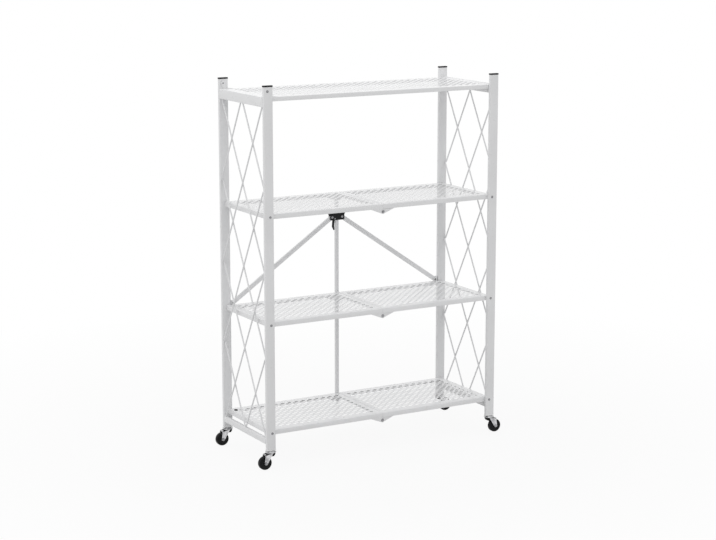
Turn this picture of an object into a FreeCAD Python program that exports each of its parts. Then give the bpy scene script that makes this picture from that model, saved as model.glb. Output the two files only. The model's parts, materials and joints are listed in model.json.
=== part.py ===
import FreeCAD, Part

import math
import os
import re

import Sketcher
from FreeCAD import Placement, Rotation, Vector

# A folding bookcase on casters.  Two end frames carry three shelves that are
# hinged across the middle, so that both frames swing together as the middle
# rises, and one top shelf that is hinged on the left frame and flips over it.
# A bar behind the shelves joins the three rear hinges.  Two braces run from
# the rear posts to a lock that slides on that bar.
#
# Millimetres.  X runs across the width, Y towards the back, Z up.  The origin
# is on the floor, under the middle of the bookcase.

DIMENSIONS = {
    # end frames
    "total_height": 1250,
    "frame_width": 886,
    "frame_depth": 332,
    "post_width": 32,
    "post_depth": 12,
    "tube_wall": 1.2,
    "post_foot": 64.5,
    "cap_height": 3,
    "cap_lip": 0.7,
    "cap_plug": 12,
    "bar_thickness": 12,
    "top_bar_foot": 1181.5,
    "top_bar_height": 32.5,
    "foot_bar_foot": 83,
    "foot_bar_height": 20,
    # rod lattice in each end frame
    "rod_diameter": 5,
    "rod_inset": 2.5,
    "lattice_top": 1187,
    "lattice_step": 137.2,
    "lattice_overrun": 0.1,
    # shelves
    "sheet_thickness": 1.2,
    "rail_height": 16,
    "half_rail": 8,
    "shelf_depth": 307,
    "shelf_overhang": 4.6,
    "pivot_inset": 12.3,
    "lower_pivot": 119,
    "middle_pivot": 479,
    "upper_pivot": 831,
    "seam_gap": 0.4,
    "hinge_drop": 17,
    "ear_length": 45,
    "ear_radius": 8.2,
    # top shelf
    "top_deck": 1213,
    "top_rail": 14.5,
    "top_length": 860,
    "top_depth": 305.6,
    "top_pivot": 1232,
    "top_pivot_inset": 13,
    "lug_radius": 8,
    "lug_root": 40,
    "lug_bend_reach": 11.2,
    "lug_bend_drop": 15.2,
    "rest_width": 20,
    "rest_reach": 11,
    "rest_height": 14,
    "rest_place": 110,
    # diamond perforation
    "hole_width": 44,
    "hole_depth": 50,
    "hole_pitch": 106,
    "hole_border": 28,
    # rivets
    "rivet_radius": 3,
    "rivet_head": 5.5,
    "rivet_crown": 1.6,
    "fit": 0.05,
    "open_fit": 0.1,
    # centre bar, braces and lock
    "centre_bar_width": 12.5,
    "centre_bar_front": 156.3,
    "centre_bar_foot": 95,
    "centre_bar_top": 840,
    "brace_width": 15,
    "brace_front": 158,
    "brace_depth": 6,
    "brace_foot": 491,
    "brace_inset": 9.5,
    "bracket_height": 22,
    "bracket_radius": 7,
    "bracket_front": 156,
    "bracket_depth": 10,
    "bracket_wall": 1.5,
    "lock_front": 154.9,
    "lock_back": 167.3,
    "lock_wall": 1.2,
    "lock_foot": 740,
    "lock_web": 760,
    "lock_top": 765,
    "lock_width": 56,
    "lock_web_width": 60,
    "lock_corner": 6,
    "lock_pivot": 750.5,
    "lock_pivot_place": 19.3,
    "lock_slide_gap": 0.3,
    "lock_head": 1.2,
    "trigger_front": 156.2,
    "trigger_depth": 1.5,
    "trigger_eye": 2.7,
    "trigger_knee": 27,
    "trigger_drop": 44,
    "trigger_lean": 11.4,
    "trigger_tip": 4.7,
    "trigger_waist": 7,
    "trigger_toe": 3,
    "pin_radius": 1.3,
    "pin_place": 9.3,
    "pin_height": 745,
    "spring_radius": 2.2,
    "spring_wall": 0.8,
    "spring_length": 5,
    # casters
    "wheel_radius": 22.5,
    "wheel_width": 17,
    "wheel_shoulder": 2.5,
    "trail": 22,
    "axle_radius": 3,
    "nut_radius": 5.5,
    "nut_height": 2.5,
    "fork_inside": 18.4,
    "fork_wall": 1.6,
    "fork_eye": 5.5,
    "fork_front": 8,
    "fork_back": 15,
    "cup_radius": 15,
    "crown_foot": 47.5,
    "race_radius": 18,
    "race_foot": 54.5,
    "crown_top": 61.3,
    "stem_radius": 4,
    "stem_top": 86,
    "socket_flange": 2.9,
    "socket_plug": 26,
    # bumper on the lowest deck
    "bumper_radius": 6,
    "bumper_height": 3,
    "bumper_x": 413,
    "bumper_y": 123,
}

# Places that the pieces share, as expressions of the dimensions.
POST_X = "(frame_width - post_width) / 2"
POST_Y = "(frame_depth - post_depth) / 2"
POST_TOP = "(total_height - cap_height)"
PIVOT_X = "(frame_width / 2 - post_width + pivot_inset)"
TOP_PIVOT_X = "(frame_width / 2 - top_pivot_inset)"
ROD_X = "(frame_width / 2 - rod_inset)"
BRACE_X = "(frame_width / 2 - post_width - brace_inset)"
BRACE_Y = "(brace_front + brace_depth / 2)"
BRACE_RISE = "(lock_pivot - brace_foot)"
BRACE_RUN = f"({BRACE_X} - lock_pivot_place)"
SHELF_LEVELS = {"lower": "lower_pivot", "middle": "middle_pivot", "upper": "upper_pivot"}
# Round pieces repeat so often that they get few faces: wheels and crowns some
# more than rods, small fasteners and their holes.
ROUND_SIDES = 8
WHEEL_SIDES = 24
# Rows of holes across each deck, and their columns along it.
HOLE_ROWS = 3
HALF_COLUMNS = 4
TOP_COLUMNS = 8
SIDES = {"left": -1, "right": 1}
ENDS = {"front": -1, "rear": 1}

doc = FreeCAD.newDocument("FoldingBookcase")
sheet = doc.addObject("Spreadsheet::Sheet", "Sizes")
for row, (name, number) in enumerate(DIMENSIONS.items(), start=1):
    sheet.set(f"A{row}", name)
    sheet.set(f"B{row}", str(number))
    sheet.setAlias(f"B{row}", name)
doc.recompute()

parts = []


# ---------------------------------------------------------------- helpers

def bound(expression):
    """The expression with each dimension's name looked up in the sheet."""
    def look_up(word):
        return f"Sizes.{word[0]}" if word[0] in DIMENSIONS else word[0]
    return re.sub(r"[a-z_]+", look_up, str(expression))


def value(expression):
    """What the expression amounts to, in millimetres."""
    return float(sheet.evalExpression(bound(expression)))


def place(thing, x, y, z, turn=Rotation()):
    """Put the thing's own origin at x, y, z, turned as given."""
    thing.Placement = Placement(Vector(), turn)
    for axis, where in zip("xyz", (x, y, z)):
        thing.setExpression(f"Placement.Base.{axis}", bound(where))
    return thing


def finished(thing, label):
    """Name a finished sub-part, which is written to a file of that name."""
    thing.Label = label
    parts.append(thing)
    return thing


def half_turn(side):
    """Pieces are drawn for the left side, and half a turn makes a right one."""
    return Rotation(Vector(0, 0, 1), 180 if side > 0 else 0)


# ------------------------------------------------- sketches and features

def new_member(name):
    """A body that goes into a group."""
    return doc.addObject("PartDesign::Body", name)


def new_body(label):
    """A body that is a sub-part by itself."""
    return finished(new_member(label), label)


def origin_plane(body, role):
    return next(plane for plane in body.Origin.OriginFeatures if plane.Role == role)


def new_sketch(body, role, offset=0):
    """A sketch on one of the body's own planes, moved along its normal."""
    sketch = body.newObject("Sketcher::SketchObject", f"{body.Label}_sketch")
    sketch.AttachmentSupport = [(origin_plane(body, role), "")]
    sketch.MapMode = "FlatFace"
    sketch.setExpression("AttachmentOffset.Base.z", bound(offset))
    return sketch


def pin_point(sketch, edge, point, x, y):
    """Tie one point of an edge to its place from the sketch's origin."""
    for kind, where in (("DistanceX", x), ("DistanceY", y)):
        tie = Sketcher.Constraint(kind, -1, 1, edge, point, value(where))
        index = sketch.addConstraint(tie)
        sketch.setExpression(f"Constraints[{index}]", bound(where))


def draw_outline(sketch, corners):
    """A closed outline of straight edges through the corners."""
    first = sketch.GeometryCount
    count = len(corners)
    spots = [Vector(value(x), value(y), 0) for x, y in corners]
    for index in range(count):
        sketch.addGeometry(Part.LineSegment(spots[index], spots[(index + 1) % count]), False)
    for index in range(count):
        following = first + (index + 1) % count
        sketch.addConstraint(Sketcher.Constraint("Coincident", first + index, 2, following, 1))
        pin_point(sketch, first + index, 1, *corners[index])


def draw_box(sketch, left, bottom, right, top):
    draw_outline(sketch, [(left, bottom), (right, bottom), (right, top), (left, top)])


def draw_ring(sketch, x, y, radius, sides):
    """A circle as a ring of short edges with their corners on it."""
    corners = []
    for side in range(sides):
        angle = 360 / sides * side
        corners.append((f"{x} + {radius} * cos({angle})", f"{y} + {radius} * sin({angle})"))
    draw_outline(sketch, corners)


def draw_drilling(sketch, x, y, radius):
    """A drilled hole, whose short edges the circle just touches."""
    draw_ring(sketch, x, y, f"{radius} / cos({180 / ROUND_SIDES})", ROUND_SIDES)


def draw_tab(sketch, corners, centre, radius):
    """A tab with a round end: its straight edges run anticlockwise from one
    tangent point of the round end, through the corners, to the other."""
    spots = [Vector(value(x), value(y), 0) for x, y in corners]
    middle = Vector(value(centre[0]), value(centre[1]), 0)
    size = value(radius)

    def tangent_angle(spot, side):
        away = spot - middle
        return math.atan2(away.y, away.x) + side * math.acos(size / away.Length)

    start = tangent_angle(spots[-1], 1)
    end = tangent_angle(spots[0], -1)
    while end <= start:
        end += 2 * math.pi
    circle = Part.Circle(middle, Vector(0, 0, 1), size)
    arc = sketch.addGeometry(Part.ArcOfCircle(circle, start, end), False)
    points = [circle.value(end)] + spots + [circle.value(start)]
    lines = []
    for tail, head in zip(points, points[1:]):
        lines.append(sketch.addGeometry(Part.LineSegment(tail, head), False))
    for line, following, corner in zip(lines, lines[1:], corners):
        sketch.addConstraint(Sketcher.Constraint("Coincident", line, 2, following, 1))
        pin_point(sketch, following, 1, *corner)
    sketch.addConstraint(Sketcher.Constraint("Tangent", arc, 2, lines[0], 1))
    sketch.addConstraint(Sketcher.Constraint("Tangent", lines[-1], 2, arc, 1))
    pin_point(sketch, arc, 3, *centre)
    index = sketch.addConstraint(Sketcher.Constraint("Radius", arc, size))
    sketch.setExpression(f"Constraints[{index}]", bound(radius))


def pad(body, sketch, length, both_ways=False, backwards=False):
    """Material along the sketch's normal, over the given length."""
    feature = body.newObject("PartDesign::Pad", f"{body.Label}_pad")
    feature.Profile = sketch
    feature.setExpression("Length", bound(length))
    feature.Midplane = both_ways
    feature.Reversed = backwards
    return feature


def pocket(body, sketch, length, both_ways=False, backwards=False):
    """A cut against the sketch's normal, or along it if backwards."""
    before = solid_volume(body)
    feature = body.newObject("PartDesign::Pocket", f"{body.Label}_pocket")
    feature.Profile = sketch
    feature.setExpression("Length", bound(length))
    feature.Midplane = both_ways
    feature.Reversed = backwards
    if solid_volume(body) >= before:
        raise ValueError(f"{feature.Name} cuts nothing")
    return feature


def solid_volume(body):
    doc.recompute()
    return body.Shape.Volume


# ------------------------------------------------- primitives and groups

def box(name, size, corner):
    """A block with its lowest corner at the given place."""
    block = doc.addObject("Part::Box", name)
    for side, length in zip(("Length", "Width", "Height"), size):
        block.setExpression(side, bound(length))
    return place(block, *corner)


def rod_along_y(name, radius, length, x, y, z, side, sides=ROUND_SIDES):
    """A small round rod from the given place to the back (1) or front (-1)."""
    rod = doc.addObject("Part::Prism", name)
    rod.Polygon = sides
    rod.setExpression("Circumradius", bound(radius))
    rod.setExpression("Height", bound(length))
    return place(rod, x, y, z, Rotation(Vector(1, 0, 0), -90 * side))


def fuse(name, members):
    union = doc.addObject("Part::MultiFuse", name)
    union.Shapes = members
    union.Refine = True
    return union


def group(label, members):
    """Equal or welded pieces that one name holds, each its own solid."""
    compound = doc.addObject("Part::Compound", label)
    compound.Links = members
    return finished(compound, label)


def rivet(name, x, y, z, reach, side, crown="rivet_crown"):
    """A rivet whose head sits at y on the outside and whose shank goes in."""
    outside = rod_along_y(f"{name}_head", "rivet_head", crown, x, y, z, side)
    shank = rod_along_y(f"{name}_shank", "rivet_radius", reach, x, y, z, -side)
    return fuse(name, [outside, shank])


# ------------------------------------------------------------- end frames

def post(side_name, end_name):
    """An upright tube, drilled for the shelf pivots."""
    side = SIDES[side_name]
    end = ENDS[end_name]
    body = new_body(f"{side_name}_{end_name}_post")
    section = new_sketch(body, "XY_Plane")
    draw_box(section, "-post_width / 2", "-post_depth / 2", "post_width / 2", "post_depth / 2")
    draw_box(section, "tube_wall - post_width / 2", "tube_wall - post_depth / 2",
             "post_width / 2 - tube_wall", "post_depth / 2 - tube_wall")
    pad(body, section, f"{POST_TOP} - post_foot")
    drilling = new_sketch(body, "XZ_Plane")
    for level in SHELF_LEVELS.values():
        draw_drilling(drilling, f"{POST_X} - {PIVOT_X}", f"{level} - post_foot", "rivet_radius")
    if side_name == "left":
        draw_drilling(drilling, f"{POST_X} - {TOP_PIVOT_X}", "top_pivot - post_foot", "rivet_radius")
    pocket(body, drilling, "post_depth * 2", both_ways=True)
    place(body, f"{side} * {POST_X}", f"{end} * {POST_Y}", "post_foot", half_turn(side))


def cross_bar(side_name, bar_name, foot, height):
    """A closed flat tube between the two posts, flush with their outside."""
    side = SIDES[side_name]
    body = new_body(f"{side_name}_{bar_name}")
    section = new_sketch(body, "XZ_Plane")
    draw_box(section, "-bar_thickness / 2", 0, "bar_thickness / 2", height)
    draw_box(section, "tube_wall - bar_thickness / 2", "tube_wall",
             "bar_thickness / 2 - tube_wall", f"{height} - tube_wall")
    pad(body, section, "frame_depth - 2 * post_depth", both_ways=True)
    place(body, f"{side} * (frame_width - bar_thickness) / 2", 0, foot)


def lattice_rod(name, side, lean, start):
    """A straight rod that crosses the frame in four steps of its height.  The
    rods that lean one way lie against those that lean the other way, so each
    rod is turned with a flat towards the inside and one towards the outside."""
    edge = "(frame_depth / 2 - post_depth - rod_diameter / 2)"
    run = f"{edge} * (2 + lattice_overrun)"
    drop = "lattice_step * (4 + 2 * lattice_overrun)"
    rod = doc.addObject("Part::Prism", name)
    rod.Polygon = ROUND_SIDES
    rod.setExpression("Circumradius", bound(f"rod_diameter / 2 / cos({180 / ROUND_SIDES})"))
    rod.setExpression("Height", bound(f"sqrt(({run}) ^ 2 + ({drop}) ^ 2)"))
    flats = Rotation(Vector(0, 0, 1), 180 / ROUND_SIDES)
    way = Vector(0, lean * value(run), -value(drop))
    layer = ROD_X if lean > 0 else f"({ROD_X} - rod_diameter)"
    return place(rod, f"{side} * {layer}", f"-{lean} * {run} / 2",
                 f"lattice_top - ({start} - lattice_overrun) * lattice_step",
                 Rotation(Vector(0, 0, 1), way) * flats)


def lattice(side_name):
    """Two layers of rods, welded where they cross and where they end, on the
    posts and on the cross-bars."""
    side = SIDES[side_name]
    foot = "(foot_bar_foot + foot_bar_height)"
    window = box(f"{side_name}_window",
                 ("bar_thickness", "frame_depth - 2 * post_depth", f"top_bar_foot - {foot}"),
                 (f"{side} * (frame_width - bar_thickness) / 2 - bar_thickness / 2",
                  "post_depth - frame_depth / 2", foot))
    rods = []
    for lean in (1, -1):
        for start in range(-2, 8, 2):
            trimmed = doc.addObject("Part::Common", f"{side_name}_rod")
            trimmed.Base = lattice_rod(f"{side_name}_rod_blank", side, lean, start)
            trimmed.Tool = window
            rods.append(trimmed)
    group(f"{side_name}_lattice", rods)


def lipped_plug(name, side, end, foot, flange, plug_foot, plug):
    """A plastic plug for a post's end, with a flange a little wider than it."""
    flange_block = box(f"{name}_flange",
                       ("post_width + 2 * cap_lip", "post_depth + 2 * cap_lip", flange),
                       (f"{side} * {POST_X} - post_width / 2 - cap_lip",
                        f"{end} * {POST_Y} - post_depth / 2 - cap_lip", foot))
    inside = "(tube_wall + fit)"
    plug_block = box(f"{name}_plug",
                     (f"post_width - 2 * {inside}", f"post_depth - 2 * {inside}", plug),
                     (f"{side} * {POST_X} - post_width / 2 + {inside}",
                      f"{end} * {POST_Y} - post_depth / 2 + {inside}", plug_foot))
    return fuse(name, [flange_block, plug_block])


def post_caps(side_name):
    side = SIDES[side_name]
    caps = []
    for end_name, end in ENDS.items():
        caps.append(lipped_plug(f"{side_name}_{end_name}_cap", side, end, POST_TOP, "cap_height",
                                f"{POST_TOP} - cap_plug", "cap_plug"))
    group(f"{side_name}_post_caps", caps)


def caster_sockets(side_name):
    """Plugs in the feet of the posts, bored for the caster stems."""
    side = SIDES[side_name]
    sockets = []
    for end_name, end in ENDS.items():
        name = f"{side_name}_{end_name}_socket"
        plug = lipped_plug(f"{name}_block", side, end, "post_foot - socket_flange", "socket_flange",
                           "post_foot", "socket_plug")
        bore = doc.addObject("Part::Cylinder", f"{name}_bore")
        bore.setExpression("Radius", bound("stem_radius + fit"))
        bore.setExpression("Height", bound("2 * (socket_flange + socket_plug)"))
        place(bore, f"{side} * {POST_X}", f"{end} * {POST_Y}", "post_foot - socket_plug")
        socket = doc.addObject("Part::Cut", name)
        socket.Base = plug
        socket.Tool = bore
        sockets.append(socket)
    group(f"{side_name}_caster_sockets", sockets)


def shelf_rivets(side_name):
    """The pivots of the three folding shelves, through the posts."""
    side = SIDES[side_name]
    rivets = []
    for level_name, level in SHELF_LEVELS.items():
        for end_name, end in ENDS.items():
            rivets.append(rivet(f"{side_name}_{end_name}_{level_name}_rivet", f"{side} * {PIVOT_X}",
                                f"{end} * frame_depth / 2", level,
                                "(frame_depth - shelf_depth) / 2 + sheet_thickness", end))
    group(f"{side_name}_shelf_rivets", rivets)


def top_shelf_rivets():
    rivets = []
    for end_name, end in ENDS.items():
        rivets.append(rivet(f"top_{end_name}_rivet", f"-{TOP_PIVOT_X}", f"{end} * frame_depth / 2",
                            "top_pivot", "(frame_depth - top_depth) / 2 + sheet_thickness", end))
    group("top_shelf_rivets", rivets)


def brace_bracket(side_name):
    """A clevis on the inner face of the rear post, for the brace's foot."""
    side = SIDES[side_name]
    body = new_body(f"{side_name}_brace_bracket")
    outline = new_sketch(body, "XZ_Plane")
    draw_tab(outline, [(0, "bracket_height / 2"), (0, "-bracket_height / 2")],
             ("brace_inset", 0), "bracket_radius")
    pad(body, outline, "bracket_depth", both_ways=True)
    mouth = new_sketch(body, "XZ_Plane")
    draw_box(mouth, "bracket_wall", "-bracket_height", "2 * bracket_height", "bracket_height")
    pocket(body, mouth, "bracket_depth - 2 * bracket_wall", both_ways=True)
    drilling = new_sketch(body, "XZ_Plane")
    draw_drilling(drilling, "brace_inset", 0, "rivet_radius")
    pocket(body, drilling, "2 * bracket_depth", both_ways=True)
    place(body, f"{side} * (frame_width / 2 - post_width)", "bracket_front + bracket_depth / 2",
          "brace_foot", half_turn(side))


def brace_rivet(side_name):
    """The brace's lower pivot, flush in the bracket's front ear."""
    pivot = rivet(f"{side_name}_brace_rivet", f"{SIDES[side_name]} * {BRACE_X}",
                  "bracket_front + bracket_depth", "brace_foot", "bracket_depth", 1)
    finished(pivot, f"{side_name}_brace_rivet")


def top_shelf_rests():
    """Two small angles on the right cross-bar, which carry the top shelf."""
    rests = []
    face = "(frame_width / 2 - bar_thickness)"
    ledge = "(top_deck - top_rail - open_fit)"
    for end_name, end in ENDS.items():
        name = f"{end_name}_rest"
        corner_y = f"{end} * rest_place - rest_width / 2"
        wing = box(f"{name}_wing", ("bracket_wall", "rest_width", "rest_height"),
                   (f"{face} - bracket_wall", corner_y, f"{ledge} - rest_height"))
        shelf = box(f"{name}_ledge", ("rest_reach", "rest_width", "bracket_wall"),
                    (f"{face} - rest_reach", corner_y, f"{ledge} - bracket_wall"))
        rests.append(fuse(name, [wing, shelf]))
    group("top_shelf_rests", rests)


def end_frame(side_name):
    for end_name in ENDS:
        post(side_name, end_name)
    cross_bar(side_name, "top_crossbar", "top_bar_foot", "top_bar_height")
    cross_bar(side_name, "foot_crossbar", "foot_bar_foot", "foot_bar_height")
    lattice(side_name)
    post_caps(side_name)
    caster_sockets(side_name)
    shelf_rivets(side_name)
    brace_bracket(side_name)
    brace_rivet(side_name)


# ---------------------------------------------------------------- shelves

def draw_inside(sketch, left, right, depth):
    """The outline of the space within a shelf's rim."""
    draw_box(sketch, f"{left} + sheet_thickness", f"sheet_thickness - {depth} / 2",
             f"{right} - sheet_thickness", f"{depth} / 2 - sheet_thickness")


def shelf_rim(name, left, right, depth, deck, height):
    """The wall all round a shelf, open above and below."""
    rim = new_member(name)
    outline = new_sketch(rim, "XY_Plane", f"{deck} - {height}")
    draw_box(outline, left, f"-{depth} / 2", right, f"{depth} / 2")
    draw_inside(outline, left, right, depth)
    pad(rim, outline, height)
    return rim


def shelf_panel(name, left, right, depth, deck, columns):
    """The punched sheet that is welded into the rim, flush with its top."""
    panel = new_member(name)
    outline = new_sketch(panel, "XY_Plane", f"{deck} - sheet_thickness")
    draw_inside(outline, left, right, depth)
    pad(panel, outline, "sheet_thickness")
    perforate(panel, deck, f"({right} - hole_border)", columns)
    return panel


def perforate(body, deck, last_column, columns):
    """Rows of diamond holes with a second set between them."""
    before = solid_volume(body)
    for shift in (0, 1):
        middle_x = f"({last_column} - {shift} * hole_pitch / 2)"
        middle_y = f"({shift + 1 - HOLE_ROWS} * hole_pitch / 2)"
        cell = new_sketch(body, "XY_Plane", deck)
        draw_outline(cell, [(f"{middle_x} - hole_width / 2", middle_y),
                            (middle_x, f"{middle_y} - hole_depth / 2"),
                            (f"{middle_x} + hole_width / 2", middle_y),
                            (middle_x, f"{middle_y} + hole_depth / 2")])
        hole = pocket(body, cell, "2 * sheet_thickness")
        pattern = body.newObject("PartDesign::LinearPattern", f"{body.Label}_holes")
        pattern.Originals = [hole]
        pattern.Direction = (cell, ["H_Axis"])
        pattern.Reversed = True
        pattern.Occurrences = columns - shift
        pattern.setExpression("Length", bound(f"{columns - shift - 1} * hole_pitch"))
        pattern.Direction2 = (cell, ["V_Axis"])
        pattern.Occurrences2 = HOLE_ROWS - shift
        pattern.setExpression("Length2", bound(f"{HOLE_ROWS - shift - 1} * hole_pitch"))
        body.Tip = pattern
    holes = HOLE_ROWS * columns + (HOLE_ROWS - 1) * (columns - 1)
    removed = (before - solid_volume(body)) / value("hole_width * hole_depth / 2 * sheet_thickness")
    if abs(removed - holes) > 0.01:
        raise ValueError(f"{body.Label} has {removed:.2f} holes in place of {holes}")


def side_tabs(body, corners, centre, radius, outer_face):
    """The same tab on the front and the rear edge, one sheet thick."""
    for end in ENDS.values():
        outline = new_sketch(body, "XZ_Plane", f"{end} * ({outer_face} - sheet_thickness / 2)")
        draw_tab(outline, corners, centre, radius)
        pad(body, outline, "sheet_thickness", both_ways=True)


def drill_across(body, x, z, radius):
    drilling = new_sketch(body, "XZ_Plane")
    draw_drilling(drilling, x, z, radius)
    pocket(body, drilling, "2 * shelf_depth", both_ways=True)


def folding_shelf_half(level_name, side_name):
    """Half a shelf, from its pivots in the posts to the seam in the middle.
    Ears below the seam carry the middle hinge, under the line of the post
    pivots, and the right half's ears lie inside the left half's."""
    side = SIDES[side_name]
    name = f"{level_name}_shelf_{side_name}"
    seam = f"({PIVOT_X} - seam_gap / 2)"
    area = ("-shelf_overhang", seam, "shelf_depth", "half_rail")
    rim = shelf_rim(f"{name}_rim", *area, "rail_height")
    hinge = (PIVOT_X, "-hinge_drop")
    if side_name == "left":
        root = "-half_rail + sheet_thickness"
        ear_face = "shelf_depth / 2"
    else:
        root = "half_rail - 2 * sheet_thickness"
        ear_face = "shelf_depth / 2 - sheet_thickness"
    ear = [(seam, "-half_rail - seam_gap"), (seam, root), (f"{seam} - ear_length", root),
           (f"{seam} - ear_length", "-half_rail")]
    side_tabs(rim, ear, hinge, "ear_radius", ear_face)
    exact = side_name == "left" or level_name == "middle"
    drill_across(rim, 0, 0, "(rivet_radius + fit)" if exact else "(rivet_radius + open_fit)")
    drill_across(rim, *hinge, "(rivet_radius + fit)")
    panel = shelf_panel(f"{name}_panel", *area, HALF_COLUMNS)
    for member in (rim, panel):
        place(member, f"{side} * {PIVOT_X}", 0, SHELF_LEVELS[level_name], half_turn(side))
    group(name, [rim, panel])


def top_shelf():
    """The top shelf, with a lug at each left corner that rises to its pivot."""
    deck = "(top_deck - top_pivot)"
    area = (0, "top_length", "top_depth", deck)
    rim = shelf_rim("top_shelf_rim", *area, "top_rail")
    lug = [(0, deck), (0, f"{deck} - lug_radius"), ("lug_root", f"{deck} - lug_radius"),
           ("lug_root", deck), ("lug_bend_reach", "-lug_bend_drop")]
    side_tabs(rim, lug, (0, 0), "lug_radius", "top_depth / 2")
    drill_across(rim, 0, 0, "(rivet_radius + fit)")
    panel = shelf_panel("top_shelf_panel", *area, TOP_COLUMNS)
    for member in (rim, panel):
        place(member, f"-{TOP_PIVOT_X}", 0, "top_pivot")
    group("top_shelf", [rim, panel])


def hinge_rivet(level_name):
    """The front rivet of a middle hinge, through the ears of both halves."""
    name = f"{level_name}_hinge_rivet"
    joint = rivet(name, 0, "-shelf_depth / 2", f"{SHELF_LEVELS[level_name]} - hinge_drop",
                  "2 * sheet_thickness", -1)
    finished(joint, name)


def deck_bumper():
    """A small rubber button on the lowest deck, beside the rear post."""
    button = doc.addObject("Part::Prism", "deck_bumper")
    button.Polygon = WHEEL_SIDES
    button.setExpression("Circumradius", bound("bumper_radius"))
    button.setExpression("Height", bound("bumper_height"))
    place(button, "-bumper_x", "bumper_y", "lower_pivot + half_rail")
    finished(button, "deck_bumper")


# ------------------------------------------------- centre bar and braces

def centre_bar():
    """The tube behind the shelves that joins the three rear hinges."""
    body = new_body("centre_bar")
    depth = "(frame_depth / 2 - centre_bar_front)"
    section = new_sketch(body, "XY_Plane")
    draw_box(section, "-centre_bar_width / 2", 0, "centre_bar_width / 2", depth)
    draw_box(section, "tube_wall - centre_bar_width / 2", "tube_wall",
             "centre_bar_width / 2 - tube_wall", f"{depth} - tube_wall")
    pad(body, section, "centre_bar_top - centre_bar_foot")
    drilling = new_sketch(body, "XZ_Plane")
    for level in SHELF_LEVELS.values():
        draw_drilling(drilling, 0, f"{level} - hinge_drop - centre_bar_foot", "rivet_radius")
    pocket(body, drilling, "frame_depth", both_ways=True)
    place(body, 0, "centre_bar_front", "centre_bar_foot")


def bar_rivets():
    """Shoulder rivets through the bar and the rear ears of each shelf."""
    rivets = []
    for level_name, level in SHELF_LEVELS.items():
        name = f"{level_name}_bar_rivet"
        height = f"{level} - hinge_drop"
        body = rivet(f"{name}_body", 0, "frame_depth / 2", height,
                     "(frame_depth - shelf_depth) / 2 + 2 * sheet_thickness", 1)
        shoulder = rod_along_y(f"{name}_shoulder", "rivet_head",
                               "centre_bar_front - shelf_depth / 2 - open_fit",
                               0, "centre_bar_front", height, -1)
        rivets.append(fuse(name, [body, shoulder]))
    group("bar_rivets", rivets)


def brace(side_name):
    """A flat strut with round ends, drilled for its two pivots."""
    side = SIDES[side_name]
    body = new_body(f"{side_name}_brace")
    length = f"sqrt({BRACE_RISE} ^ 2 + {BRACE_RUN} ^ 2)"
    outline = new_sketch(body, "XZ_Plane")
    reach = value(length)
    half = value("brace_width / 2")
    foot = Part.Circle(Vector(0, 0, 0), Vector(0, 0, 1), half)
    head = Part.Circle(Vector(reach, 0, 0), Vector(0, 0, 1), half)
    foot_arc = outline.addGeometry(Part.ArcOfCircle(foot, math.pi / 2, 3 * math.pi / 2), False)
    head_arc = outline.addGeometry(Part.ArcOfCircle(head, -math.pi / 2, math.pi / 2), False)
    lower = outline.addGeometry(Part.LineSegment(Vector(0, -half, 0), Vector(reach, -half, 0)), False)
    upper = outline.addGeometry(Part.LineSegment(Vector(reach, half, 0), Vector(0, half, 0)), False)
    for tail, head_edge in ((foot_arc, lower), (lower, head_arc), (head_arc, upper), (upper, foot_arc)):
        outline.addConstraint(Sketcher.Constraint("Tangent", tail, 2, head_edge, 1))
    pin_point(outline, foot_arc, 3, 0, 0)
    pin_point(outline, head_arc, 3, length, 0)
    index = outline.addConstraint(Sketcher.Constraint("Radius", foot_arc, half))
    outline.setExpression(f"Constraints[{index}]", bound("brace_width / 2"))
    pad(body, outline, "brace_depth", both_ways=True)
    drilling = new_sketch(body, "XZ_Plane")
    draw_drilling(drilling, 0, 0, "(rivet_radius + fit)")
    draw_drilling(drilling, length, 0, "(rivet_radius + fit)")
    pocket(body, drilling, "2 * brace_depth", both_ways=True)
    slope = math.degrees(math.atan2(value(BRACE_RISE), value(BRACE_RUN)))
    lean = slope if side < 0 else 180 - slope
    place(body, f"{side} * {BRACE_X}", BRACE_Y, "brace_foot", Rotation(Vector(0, -1, 0), lean))


# ------------------------------------------------------------------- lock

def lock_housing():
    """A slider over the bar: a web with a plate in front of the braces and
    one behind them."""
    body = new_body("lock_housing")
    depth = "(lock_back - lock_front)"
    web_foot = "(lock_web - lock_foot)"
    web_top = "(lock_top - lock_foot)"
    corner = "(lock_width / 2 - lock_corner)"
    outline = new_sketch(body, "XZ_Plane")
    draw_outline(outline, [(f"-{corner}", 0), (corner, 0), ("lock_width / 2", "lock_corner"),
                           ("lock_width / 2", web_foot), ("lock_web_width / 2", web_foot),
                           ("lock_web_width / 2", web_top), ("-lock_web_width / 2", web_top),
                           ("-lock_web_width / 2", web_foot), ("-lock_width / 2", web_foot),
                           ("-lock_width / 2", "lock_corner")])
    pad(body, outline, depth, backwards=True)
    mouth = new_sketch(body, "YZ_Plane")
    draw_box(mouth, "lock_wall", "-lock_corner", f"{depth} - lock_wall", web_foot)
    pocket(body, mouth, "2 * lock_web_width", both_ways=True)
    gap = "(centre_bar_width / 2 + lock_slide_gap)"
    slot = new_sketch(body, "XY_Plane", web_top)
    draw_box(slot, f"-{gap}", "lock_wall", gap, f"{depth} - lock_wall")
    pocket(body, slot, "2 * (lock_top - lock_web)", both_ways=True)
    drilling = new_sketch(body, "XZ_Plane")
    for side in SIDES.values():
        draw_drilling(drilling, f"{side} * lock_pivot_place", "lock_pivot - lock_foot", "rivet_radius")
    pocket(body, drilling, "3 * lock_wall", both_ways=True)
    pin_hole = new_sketch(body, "XZ_Plane")
    draw_drilling(pin_hole, "-pin_place", "pin_height - lock_foot", "pin_radius")
    pocket(body, pin_hole, f"3 * {depth}", both_ways=True)
    place(body, 0, "lock_front", "lock_foot")


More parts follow.
